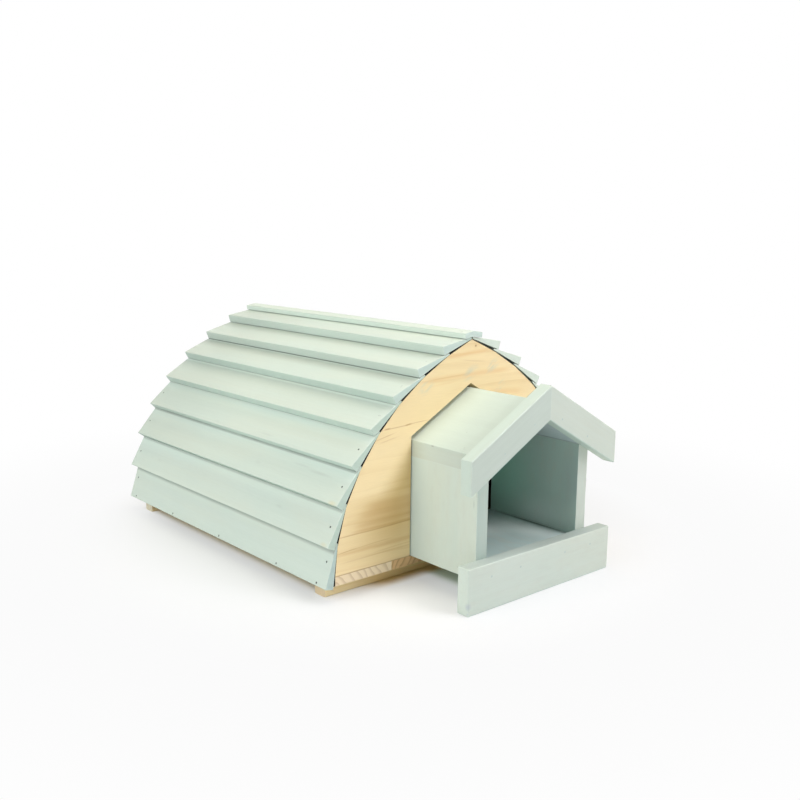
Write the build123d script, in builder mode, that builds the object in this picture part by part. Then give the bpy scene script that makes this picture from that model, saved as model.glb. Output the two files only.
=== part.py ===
from build123d import *
import os
from math import atan, cos, radians, sin, sqrt, tan

# Hedgehog house with a pointed-arch shell of lapped boards and a pull-out entrance tunnel.
# Millimetres. X to the right, Y to the rear, Z up. The ground is Z = 0, and the origin lies
# on it under the middle of the whole object's box. The entrance faces -Y.

# Timber stock and running gaps
plank = 16
floor_board_thickness = 10
fit_gap = 0.1
slide_gap = 0.3

# Shell: two gables on a floor, with flats round the arch that are one board wide
house_length = 450
facet_length = 41.8
facet_angles = (24, 30, 37, 45.5, 54.5, 63, 74.5, 84.5)
floor_board_count = 5
floor_joint = 0.3
batten_size = 18
batten_setback = 18
batten_round = 2

# Roofing membrane under the boards, folded into a hem along the floor's edge
membrane_thickness = 0.8
hem_thickness = 1.8
hem_height = 4

# Tapered cladding boards and the strips that cap the ridge
board_thick_edge = 10.3
board_thin_edge = 1.5
board_cover = 4.2
board_lap = 3.7
board_skirt = 3
board_overhang = 1
board_round = 0.8
lap_gap = 0.5
ridge_gap = 1.8
cap_width = 13
cap_thickness = 6.4
cap_overhang = 3

# Entrance tunnel, from the ground to its roof and from its front to its tail in the chamber
tunnel_width = 178
tunnel_eave_height = 132.5
tunnel_tail = 32
porch_reach = 117
roof_pitch = 29
cutout_side_gap = 1.4
cutout_top_gap = 5
threshold_width = 230
threshold_height = 51
barge_half_span = 117
barge_width = 33
barge_rise = 17.5
barge_shift = 2.5
edge_round = 1.5

# Brads and screws
brad_radius = 0.7
brad_length = 25
brad_head_radius = 1.1
brad_head_thickness = 0.8
brad_sink = 0.3
brad_rise = 22
upper_brad_rise = 28
eaves_brad_share = 0.25
eaves_brad_shares = (0.036, 0.204, 0.478, 0.735, 0.967)
cap_brad_share = 0.55
batten_brad_share = 0.3
barge_brad_shares = (0.25, 0.75)
threshold_brad_share = 0.5
tunnel_brad_shares = (0.2, 0.8)
roof_brad_lean = 14
roof_brad_offset = 2
screw_radius = 1.9
screw_head_radius = 3.7
screw_length = 34
steel_gap = 0.1

# Levels and lines that follow from the sizes above
floor_base = batten_size
gable_foot = floor_base + floor_board_thickness
board_drop = facet_length + board_cover
eaves_flat = board_drop - floor_board_thickness - board_skirt
flats = [(angle, facet_length) for angle in facet_angles[:-1]] + [(facet_angles[-1], eaves_flat)]
overall_length = porch_reach + house_length + cap_overhang
gable_face = porch_reach - overall_length / 2
rear_face = gable_face + house_length
tunnel_front = gable_face - porch_reach
trim_back = tunnel_front + plank
tunnel_back = gable_face + tunnel_tail
tunnel_half = tunnel_width / 2
passage_half = tunnel_half - plank
tunnel_base = gable_foot + slide_gap
pitch_rise = tan(radians(roof_pitch))
plumb_plank = plank / cos(radians(roof_pitch))
tunnel_eave = tunnel_base + tunnel_eave_height
tunnel_ridge = tunnel_eave + tunnel_half * pitch_rise
barge_ridge = tunnel_ridge + barge_rise
barge_plumb = barge_width / cos(radians(roof_pitch))
barge_eave = barge_ridge - barge_half_span * pitch_rise
cutout_half = tunnel_half + cutout_side_gap
cutout_ridge = tunnel_ridge + cutout_top_gap
gable_lines = (gable_face + plank / 2, rear_face - plank / 2)
sides = {"left": -1, "right": 1}


def upright(y):
    """The plane across the house at this y, with X to the right and Z up in the drawing."""
    return Plane.XZ.offset(-y)


def down(angle):
    """The direction, in the drawing, of a flat that drops to the left at this angle."""
    return Vector(-cos(radians(angle)), -sin(radians(angle)))


def outward(direction):
    """The normal that points out of the arch beside a direction that runs down it."""
    return Vector(direction.Y, -direction.X)


def to_side(points, side):
    """Points drawn for the left of the house, on the side that is asked for."""
    return [(-side * point.X, point.Y) for point in points]


# Corners of the gable's flats, from the ridge down the left side to the floor
gable_height = -sum(down(angle).Y * length for angle, length in flats)
flat_corners = [Vector(0, gable_foot + gable_height)]
for angle, length in flats:
    flat_corners.append(flat_corners[-1] + down(angle) * length)
floor_half = -flat_corners[-1].X
floor_edge = Vector(-floor_half, floor_base)
hem_edge = -floor_half - membrane_thickness - hem_thickness


class Board:
    """The section of one tapered board: its heel rests on the membrane at the top corner of
    its flat, and its lower part lies on the next board down, or on the hem at the eaves."""

    def __init__(self, row, below):
        heel = flat_corners[row] + outward(down(facet_angles[row])) * (membrane_thickness + fit_gap)
        if below is None:
            hem_top = Vector(hem_edge - fit_gap, floor_base + hem_height)
            along = (hem_top - heel).normalized()
        else:
            height = (heel - below.face_top).dot(below.face_out) - lap_gap
            foot = heel - below.face_out * height
            rest = foot + below.face_down * sqrt(board_drop**2 - height**2)
            edge = below.face_top + below.face_out * fit_gap
            flat_out = outward(down(facet_angles[row]))
            choices = [(rest - heel).normalized(), (edge - heel).normalized()]
            along = max(choices, key=lambda direction: direction.dot(flat_out))
        taper = atan((board_thick_edge - board_thin_edge) / (board_drop + board_lap))
        across = outward(along) * cos(taper / 2) - along * sin(taper / 2)
        self.inner_top = heel - along * board_lap
        self.inner_low = heel + along * board_drop
        self.face_top = self.inner_top + across * board_thin_edge
        self.face_low = self.inner_low + across * board_thick_edge
        self.face_down = (self.face_low - self.face_top).normalized()
        self.face_out = outward(self.face_down)

    def corners(self):
        return [self.inner_top, self.inner_low, self.face_low, self.face_top]

    def on_face(self, rise):
        """The point on the showing face at this distance up from its lower edge."""
        return self.face_low - self.face_down * rise

    def at_level(self, level):
        """The point on the showing face at this height above the ground."""
        return self.on_face((self.face_low.Y - level) / self.face_down.Y)


boards = []
for row in reversed(range(len(facet_angles))):
    boards.insert(0, Board(row, boards[0] if boards else None))
top_board = boards[0]
eaves_board = boards[-1]

# Foot of the cap strips' inner faces, where the two meet over the ridge
cap_base = top_board.face_top + top_board.face_out * lap_gap
cap_ridge = cap_base + top_board.face_down * (-cap_base.X / top_board.face_down.X)
cap_lift = top_board.face_out * cap_thickness


def brad_place(point, y, direction, side):
    """Where a brad is driven: a plane on the wood's face whose normal points out of it."""
    x, z = to_side([point], side)[0]
    return Plane(origin=(x, y, z), z_dir=(-side * direction.X, 0, direction.Y))


def drill(places):
    """Cut the holes of brads driven at these places out of the piece that is being built."""
    with Locations(*places):
        CounterBoreHole(
            brad_radius + steel_gap,
            brad_head_radius + steel_gap,
            brad_sink + brad_head_thickness + steel_gap,
            brad_length + steel_gap,
        )


def drive(places):
    """Add brads at these places to the group of fasteners that is being built."""
    top = (Align.CENTER, Align.CENTER, Align.MAX)
    with Locations(*[place.offset(-brad_sink) for place in places]):
        Cylinder(brad_head_radius, brad_head_thickness, align=top)
        Cylinder(brad_radius, brad_length - brad_sink, align=top)


def ridge_flat_place(y, side):
    """A brad through a cap strip, the top board and the membrane into a gable."""
    point = cap_ridge + cap_lift + top_board.face_down * (cap_width * cap_brad_share)
    return brad_place(point, y, top_board.face_out, side)


cladding_places = {}
for side_name, side in sides.items():
    for row, board in enumerate(boards, 1):
        rise = upper_brad_rise if board is eaves_board else brad_rise
        cladding_places[side_name, row] = [
            brad_place(board.on_face(rise), y, board.face_out, side) for y in gable_lines
        ]
eaves_lines = [gable_face + share * house_length for share in eaves_brad_shares]
eaves_point = eaves_board.at_level(floor_base + floor_board_thickness * eaves_brad_share)
eaves_places = {
    side_name: [brad_place(eaves_point, y, Vector(-1, 0), side) for y in eaves_lines]
    for side_name, side in sides.items()
}
cap_places = {name: [ridge_flat_place(y, side) for y in gable_lines] for name, side in sides.items()}

# Floor boards run from front to back, and the battens lie across them
floor_board_width = 2 * floor_half / floor_board_count
floor_board_lines = [
    -floor_half + floor_board_width * (number + 0.5) for number in range(floor_board_count)
]
batten_lines = {
    "front_batten": gable_face + batten_setback + batten_size / 2,
    "rear_batten": rear_face - batten_setback - batten_size / 2,
}
batten_places = {
    node: [
        Plane(origin=(x + share * floor_board_width, y, 0), z_dir=(0, 0, -1))
        for x in floor_board_lines
        for share in (-batten_brad_share, batten_brad_share)
    ]
    for node, y in batten_lines.items()
}

# Screws rise through the two outer floor boards on each side into the gables beside the doorway
outer_joint = floor_half - floor_board_width
foot_lines = ((cutout_half + outer_joint) / 2, (outer_joint + floor_half) / 2)
screw_places = [
    Plane(origin=(side * x, y, floor_base), z_dir=(0, 0, -1))
    for side in sides.values()
    for x in foot_lines
    for y in gable_lines
]


def sink_screws():
    """Cut the holes of the gable screws out of the piece that is being built."""
    with Locations(*screw_places):
        CounterSinkHole(screw_radius + steel_gap, screw_head_radius + steel_gap, screw_length + steel_gap)


# Brads that hold the tunnel's own boards together
wall_line = tunnel_half - plank / 2
tunnel_floor_line = tunnel_base + plank / 2
tunnel_lines = [trim_back + share * (tunnel_back - trim_back) for share in tunnel_brad_shares]
roof_brad_line = wall_line + roof_brad_offset
roof_brad_out = Vector(-sin(radians(roof_brad_lean)), cos(radians(roof_brad_lean)))


def roof_level(distance):
    """The height of the tunnel roof's top at this distance from its middle."""
    return tunnel_ridge - distance * pitch_rise


tunnel_places = {
    side_name: {
        "wall": [
            brad_place(Vector(-tunnel_half, tunnel_floor_line), y, Vector(-1, 0), side) for y in tunnel_lines
        ],
        "roof": [
            brad_place(Vector(-roof_brad_line, roof_level(roof_brad_line)), y, roof_brad_out, side)
            for y in tunnel_lines
        ],
        "barge": [
            Plane(
                origin=(
                    side * share * tunnel_half,
                    tunnel_front,
                    roof_level(share * tunnel_half) - plumb_plank / 2,
                ),
                z_dir=(0, -1, 0),
            )
            for share in barge_brad_shares
        ],
        "threshold": [
            Plane(origin=(side * x, tunnel_front, tunnel_floor_line), z_dir=(0, -1, 0))
            for x in (wall_line, passage_half * threshold_brad_share)
        ],
    }
    for side_name, side in sides.items()
}


def all_places(kind):
    """The tunnel's brads of one kind, on both sides."""
    return [place for side_name in sides for place in tunnel_places[side_name][kind]]


def showing_arrises(piece, direction, side):
    """The edges of a board's showing face that can be touched: the lower one and both ends."""
    out = Vector(-side * direction.X, 0, direction.Y)
    showing_face = max(piece.faces(), key=lambda face: face.normal_at().dot(out))
    return showing_face.edges().sort_by(Axis.Z)[:-1]


def finish(piece, node):
    """Name a finished piece and write it to its own file."""
    piece.part.label = node
    export_step(piece.part, f"parts/{node}.step")


os.makedirs("parts", exist_ok=True)

# Floor
for number, x in enumerate(floor_board_lines, 1):
    with BuildPart() as floor_board:
        with BuildSketch(Plane.XY.offset(floor_base)):
            with Locations((x, (gable_face + rear_face) / 2)):
                Rectangle(floor_board_width - floor_joint, house_length)
        extrude(amount=floor_board_thickness)
        drill(batten_places["front_batten"] + batten_places["rear_batten"])
        drill(eaves_places["left"] + eaves_places["right"])
        sink_screws()
    finish(floor_board, f"floor_board_{number}")

# Battens under the floor
for node, y in batten_lines.items():
    with BuildPart() as batten:
        with BuildSketch(Plane.XY):
            with Locations((0, y)):
                Rectangle(2 * floor_half, batten_size)
        extrude(amount=batten_size)
        fillet(batten.edges().filter_by(Axis.X), batten_round)
        drill(batten_places[node])
    finish(batten, node)

# Gables
gable_outline = to_side(flat_corners, -1) + to_side(flat_corners[:0:-1], 1)
with BuildPart() as front_gable:
    with BuildSketch(upright(gable_face)):
        with BuildLine():
            Polyline(*gable_outline, close=True)
        make_face()
        with BuildLine():
            Polyline(
                (-cutout_half, gable_foot),
                (-cutout_half, cutout_ridge - cutout_half * pitch_rise),
                (0, cutout_ridge),
                (cutout_half, cutout_ridge - cutout_half * pitch_rise),
                (cutout_half, gable_foot),
                close=True,
            )
        make_face(mode=Mode.SUBTRACT)
    extrude(amount=-plank)
    for places in cladding_places.values():
        drill(places)
    for places in cap_places.values():
        drill(places)
    sink_screws()
finish(front_gable, "front_gable")

with BuildPart() as rear_gable:
    with BuildSketch(upright(rear_face - plank)):
        with BuildLine():
            Polyline(*gable_outline, close=True)
        make_face()
    extrude(amount=-plank)
    for places in cladding_places.values():
        drill(places)
    for places in cap_places.values():
        drill(places)
    sink_screws()
finish(rear_gable, "rear_gable")

# Membrane
membrane_line = flat_corners + [floor_edge]
with BuildPart() as membrane:
    with BuildSketch(upright(gable_face)):
        with BuildLine():
            Polyline(*(to_side(membrane_line[::-1], -1) + to_side(membrane_line[1:], 1)))
            offset(amount=membrane_thickness, kind=Kind.INTERSECTION, side=Side.LEFT, closed=True)
        make_face()
        for side in sides.values():
            with BuildLine():
                Polyline(
                    *to_side(
                        [
                            Vector(-floor_half - membrane_thickness, floor_base),
                            Vector(-floor_half - membrane_thickness, floor_base + hem_height),
                            Vector(hem_edge, floor_base + hem_height),
                            Vector(hem_edge, floor_base),
                        ],
                        -side,
                    ),
                    close=True,
                )
            make_face()
    extrude(amount=-house_length)
    for places in cladding_places.values():
        drill(places)
    for name in sides:
        drill(cap_places[name] + eaves_places[name])
finish(membrane, "membrane")

# Cladding boards
board_front = gable_face - board_overhang
board_length = house_length + 2 * board_overhang
for side_name, side in sides.items():
    for row, section in enumerate(boards, 1):
        with BuildPart() as board:
            with BuildSketch(upright(board_front)):
                with BuildLine():
                    Polyline(*to_side(section.corners(), side), close=True)
                make_face()
            extrude(amount=-board_length)
            fillet(showing_arrises(board, section.face_out, side), board_round)
            if section is top_board:
                ridge_cut = Plane.YZ.offset(side * ridge_gap / 2)
                split(bisect_by=ridge_cut, keep=Keep.TOP if side > 0 else Keep.BOTTOM)
                drill(cap_places[side_name])
            if section is eaves_board:
                drill(eaves_places[side_name])
            drill(cladding_places[side_name, row])
        finish(board, f"board_{side_name}_{row}")

# Cap strips along the ridge
cap_section = [
    cap_ridge - top_board.face_down * cap_thickness,
    cap_ridge + top_board.face_down * cap_width,
    cap_ridge + top_board.face_down * cap_width + cap_lift,
    cap_ridge - top_board.face_down * cap_thickness + cap_lift,
]
for side_name, side in sides.items():
    with BuildPart() as cap:
        with BuildSketch(upright(gable_face - cap_overhang)):
            with BuildLine():
                Polyline(*to_side(cap_section, side), close=True)
            make_face()
        extrude(amount=-(house_length + 2 * cap_overhang))
        fillet(showing_arrises(cap, top_board.face_out, side), board_round)
        split(
            bisect_by=Plane.YZ.offset(side * fit_gap / 2),
            keep=Keep.TOP if side > 0 else Keep.BOTTOM,
        )
        drill(cap_places[side_name])
    finish(cap, f"ridge_cap_{side_name}")

# Tunnel walls, floor and roof
wall_outer_top = roof_level(tunnel_half) - plumb_plank
wall_inner_top = roof_level(passage_half) - plumb_plank
for side_name, side in sides.items():
    with BuildPart() as wall:
        with BuildSketch(upright(trim_back)):
            with BuildLine():
                Polyline(
                    (side * tunnel_half, tunnel_base),
                    (side * passage_half, tunnel_base),
                    (side * passage_half, wall_inner_top),
                    (side * tunnel_half, wall_outer_top),
                    close=True,
                )
            make_face()
        extrude(amount=trim_back - tunnel_back)
        drill(tunnel_places[side_name]["wall"] + tunnel_places[side_name]["roof"])
        drill(all_places("threshold"))
    finish(wall, f"tunnel_wall_{side_name}")

with BuildPart() as tunnel_floor:
    with BuildSketch(Plane.XY.offset(tunnel_base)):
        with Locations((0, (trim_back + tunnel_back) / 2)):
            Rectangle(2 * passage_half, tunnel_back - trim_back)
    extrude(amount=plank)
    drill(all_places("wall") + all_places("threshold"))
finish(tunnel_floor, "tunnel_floor")

for side_name, side in sides.items():
    with BuildPart() as roof:
        with BuildSketch(upright(trim_back)):
            with BuildLine():
                Polyline(
                    (side * fit_gap / 2, roof_level(0)),
                    (side * tunnel_half, roof_level(tunnel_half)),
                    (side * tunnel_half, roof_level(tunnel_half) - plumb_plank),
                    (side * fit_gap / 2, roof_level(0) - plumb_plank),
                    close=True,
                )
            make_face()
        extrude(amount=trim_back - tunnel_back)
        eave = roof.edges().filter_by(Axis.Y).group_by(Axis.X)[0 if side < 0 else -1].sort_by(Axis.Z)[-1]
        fillet(eave, edge_round)
        drill(tunnel_places[side_name]["roof"] + tunnel_places[side_name]["barge"])
    finish(roof, f"tunnel_roof_{side_name}")

# Bargeboards and threshold board on the tunnel's front
for side_name, side in sides.items():
    with BuildPart() as bargeboard:
        with BuildSketch(upright(tunnel_front)):
            with BuildLine():
                Polyline(
                    (barge_shift, barge_ridge),
                    (barge_shift + side * barge_half_span, barge_eave),
                    (barge_shift + side * barge_half_span, barge_eave - barge_plumb),
                    (barge_shift, barge_ridge - barge_plumb),
                    close=True,
                )
            make_face()
        extrude(amount=-plank)
        joint = bargeboard.faces().sort_by(Axis.X)[-1 if side < 0 else 0]
        fillet(bargeboard.edges() - joint.edges(), edge_round)
        drill(tunnel_places[side_name]["barge"])
    finish(bargeboard, f"bargeboard_{side_name}")

with BuildPart() as threshold_board:
    with BuildSketch(upright(tunnel_front)):
        with Locations((0, threshold_height / 2)):
            Rectangle(threshold_width, threshold_height)
    extrude(amount=-plank)
    fillet(threshold_board.edges(), edge_round)
    drill(all_places("threshold"))
finish(threshold_board, "threshold_board")

# Fasteners, in groups of identical pieces
with BuildPart() as cladding_brads:
    for places in cladding_places.values():
        drive(places)
finish(cladding_brads, "cladding_brads")

with BuildPart() as eaves_brads:
    drive(eaves_places["left"] + eaves_places["right"])
finish(eaves_brads, "eaves_brads")

with BuildPart() as cap_brads:
    drive(cap_places["left"] + cap_places["right"])
finish(cap_brads, "cap_brads")

with BuildPart() as batten_brads:
    drive(batten_places["front_batten"] + batten_places["rear_batten"])
finish(batten_brads, "batten_brads")

with BuildPart() as tunnel_brads:
    for kind in ("wall", "roof", "barge", "threshold"):
        drive(all_places(kind))
finish(tunnel_brads, "tunnel_brads")

with BuildPart() as gable_screws:
    for place in screw_places:
        with BuildSketch(place):
            Circle(screw_head_radius)
        with BuildSketch(place.offset(-(screw_head_radius - screw_radius))):
            Circle(screw_radius)
        loft()
        with BuildSketch(place.offset(-(screw_head_radius - screw_radius))):
            Circle(screw_radius)
        extrude(amount=-(screw_length - screw_head_radius + screw_radius))
finish(gable_screws, "gable_screws")
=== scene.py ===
import math
import random
from collections import namedtuple
from typing import NamedTuple

import bmesh
import bpy
from mathutils import Matrix, Vector


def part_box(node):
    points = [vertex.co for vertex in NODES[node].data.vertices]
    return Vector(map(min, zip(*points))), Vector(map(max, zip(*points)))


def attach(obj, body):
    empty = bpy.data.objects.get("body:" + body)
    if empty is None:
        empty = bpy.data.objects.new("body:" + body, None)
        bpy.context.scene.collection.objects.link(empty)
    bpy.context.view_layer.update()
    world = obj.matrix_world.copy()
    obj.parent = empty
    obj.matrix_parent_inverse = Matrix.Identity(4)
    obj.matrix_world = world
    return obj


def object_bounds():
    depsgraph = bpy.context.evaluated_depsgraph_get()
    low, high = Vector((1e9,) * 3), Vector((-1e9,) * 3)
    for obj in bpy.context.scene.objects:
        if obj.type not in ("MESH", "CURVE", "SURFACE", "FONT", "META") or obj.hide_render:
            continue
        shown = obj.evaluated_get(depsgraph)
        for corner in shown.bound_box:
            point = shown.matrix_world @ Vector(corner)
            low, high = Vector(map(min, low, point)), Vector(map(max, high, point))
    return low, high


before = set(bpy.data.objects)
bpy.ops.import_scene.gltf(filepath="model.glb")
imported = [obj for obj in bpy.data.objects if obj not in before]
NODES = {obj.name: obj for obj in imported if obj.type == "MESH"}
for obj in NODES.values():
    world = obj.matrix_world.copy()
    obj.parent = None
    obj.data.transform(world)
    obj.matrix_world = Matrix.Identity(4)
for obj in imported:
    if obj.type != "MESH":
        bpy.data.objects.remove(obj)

cad_low, cad_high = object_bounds()
SIDES = ("left", "right")
MM = 0.001

# Seeds of the random patterns. The coats, floor boards and battens count on from theirs.
MEMBRANE_SEED = 5
STEEL_SEED = 6
PAINT_SEED = 100
FLOOR_SEED = 200
FRONT_GABLE_SEED = 210
REAR_GABLE_SEED = 211
BATTEN_SEED = 220
FILLER_SEED = 300

# Directions along which the timber lies, and in which the tunnel's ceiling looks
ALONG_X = Vector((1, 0, 0))
ALONG_Y = Vector((0, 1, 0))
ALONG_Z = Vector((0, 0, 1))
ROOF_PITCH = math.radians(29)
UP_TO_RIGHT = Vector((math.cos(ROOF_PITCH), 0, math.sin(ROOF_PITCH)))
DOWN_TO_RIGHT = Vector((math.cos(ROOF_PITCH), 0, -math.sin(ROOF_PITCH)))
UNDER_LEFT_ROOF = ALONG_Y.cross(UP_TO_RIGHT)
UNDER_RIGHT_ROOF = ALONG_Y.cross(DOWN_TO_RIGHT)


def tone(red, green, blue):
    """The linear colour of a tone that is written in the usual 0 to 255 steps."""
    steps = (red / 255, green / 255, blue / 255)
    return tuple(((step + 0.055) / 1.055) ** 2.4 for step in steps) + (1,)


# Paint tones. Besides the paint's own tones, many stand for painted light and painted shade on
# faces by how light falls on them, as marked
SAGE = tone(202, 213, 203)
SAGE_WARM = tone(205, 214, 200)
SAGE_COOL = tone(199, 213, 202)
# Lighter arrises, partly worn paint and partly a painted highlight; also painted light on the
# threshold's top
SAGE_WORN_HIGHLIGHT = tone(209, 220, 211)
# Painted light and painted shade on the lower edges: lighter on the caps, darker down the rows
SAGE_CAP_EDGE_LIGHT = tone(212, 226, 215)
SAGE_TOP_EDGE_SHADE = tone(200, 214, 203)
SAGE_UPPER_EDGE_SHADE = tone(194, 207, 196)
SAGE_MIDDLE_EDGE_SHADE = tone(186, 203, 192)
SAGE_LOWER_EDGE_SHADE = tone(164, 184, 171)
# Painted light on the sawn front ends: bluish, darker down the rows and lighter on the right
SAGE_UPPER_END = tone(196, 214, 207)
SAGE_MIDDLE_END = tone(188, 207, 196)
SAGE_LOWER_END = tone(180, 200, 196)
SAGE_RIGHT_END = tone(213, 226, 214)
# Painted light on the top of the tunnel's left roof board
SAGE_ROOF_TOP_LIT = tone(206, 219, 208)
# Painted shade on the undersides
SAGE_UNDERSIDE_SHADE = tone(199, 217, 206)
# Painted shade inside the tunnel, with painted light deeper in and on its floor
SAGE_INSIDE_SHADE = tone(187, 211, 201)
SAGE_INSIDE_ROOF_SHADE = tone(177, 194, 194)
SAGE_INSIDE_FLOOR_SHADE = tone(188, 207, 203)
SAGE_INSIDE_LIGHT = tone(238, 248, 244)
SAGE_INSIDE_FRONT_SHADE = tone(160, 178, 178)
SAGE_INSIDE_DEEP_LIGHT = tone(184, 242, 220)
# Painted shade along the joints inside the tunnel
SAGE_JOINT_SHADE = tone(70, 88, 84)
# Painted light on the tunnel wall beside the gable
SAGE_LIGHT_BY_GABLE = tone(208, 226, 222)
# Lit and shaded tones of the tunnel wall's front, the bargeboard's front, top and end, and the
# sill: painted light and painted shade
SAGE_FRONT_SHADE = tone(182, 199, 190)
SAGE_BARGE_FRONT_SHADE = tone(195, 208, 198)
SAGE_BARGE_TOP_LIT = tone(199, 212, 201)
SAGE_BARGE_END = tone(196, 212, 200)
SAGE_SILL_SHADE = tone(177, 189, 182)
# The paint's own mottling, stains, chips and worn patches
SAGE_MOTTLE = tone(196, 200, 188)
SAGE_STAIN = tone(158, 166, 158)
SAGE_CHIP = tone(150, 160, 186)
SAGE_WORN = tone(214, 208, 172)
# Painted shadow in the laps between the boards
LAP_SHADOW = tone(50, 60, 56)

# Timber tones
PINE_EARLY = tone(253, 231, 183)
PINE_LATE = tone(232, 200, 142)
PINE_STREAK = tone(196, 152, 92)
PINE_TAN = tone(214, 168, 104)
PINE_ORANGE = tone(238, 196, 132)
PINE_END = tone(232, 212, 176)
PINE_END_LATE = tone(190, 158, 116)
PINE_END_PALE = tone(243, 223, 190)
PINE_END_PALE_LATE = tone(210, 184, 146)
PINE_END_BROWN = tone(224, 186, 134)
PINE_END_BROWN_LATE = tone(178, 138, 94)
PINE_BATTEN = tone(255, 243, 200)
PINE_BATTEN_LATE = tone(255, 226, 172)
PINE_BATTEN_END = tone(220, 197, 160)
PINE_REAR_END = tone(222, 212, 186)
PINE_REAR_END_LATE = tone(205, 196, 170)
# Painted shade on pine that looks into the closed chamber
PINE_CHAMBER_SHADE = tone(96, 82, 60)
# The pin knot and the dark joints
PINE_KNOT = tone(158, 112, 66)

# The tones of a piece of pine on its faces and on its sawn ends
PineTones = namedtuple("PineTones", "early late end end_late")
PINE_TONES = PineTones(PINE_EARLY, PINE_LATE, PINE_END, PINE_END_LATE)
BATTEN_TONES = {
    "front_batten": PineTones(PINE_BATTEN, PINE_BATTEN_LATE, PINE_BATTEN_END, PINE_BATTEN_END),
    "rear_batten": PineTones(PINE_EARLY, PINE_LATE, PINE_REAR_END, PINE_REAR_END_LATE),
}
FLOOR_TONES = {
    1: PINE_TONES._replace(end=PINE_END_PALE, end_late=PINE_END_PALE_LATE),
    2: PINE_TONES._replace(end=PINE_END_BROWN, end_late=PINE_END_BROWN_LATE),
}

# Dark tones
MEMBRANE_BLACK = tone(24, 26, 25)
STEEL_GREY = tone(84, 88, 84)


# The cosines between which a face starts to count as looking in a direction, as an upper face
# and as an underside
LOOKING = (0.8, 0.95)
UPPER_LOOK = (-0.1, 0.1)
UNDER_LOOK = (0.0, -0.3)
# The cosines between which a bent corner starts to count as an arris
ARRIS_BEND = (0.99, 0.8)
ARRIS_SAMPLES = 4
# The values between which most of a noise lies, and its middle part
NOISE_SPAN = (0.3, 0.7)
NOISE_MIDDLE = (0.35, 0.65)
# Each pattern starts within this many of its grains from the origin
PATTERN_START = 50


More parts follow.
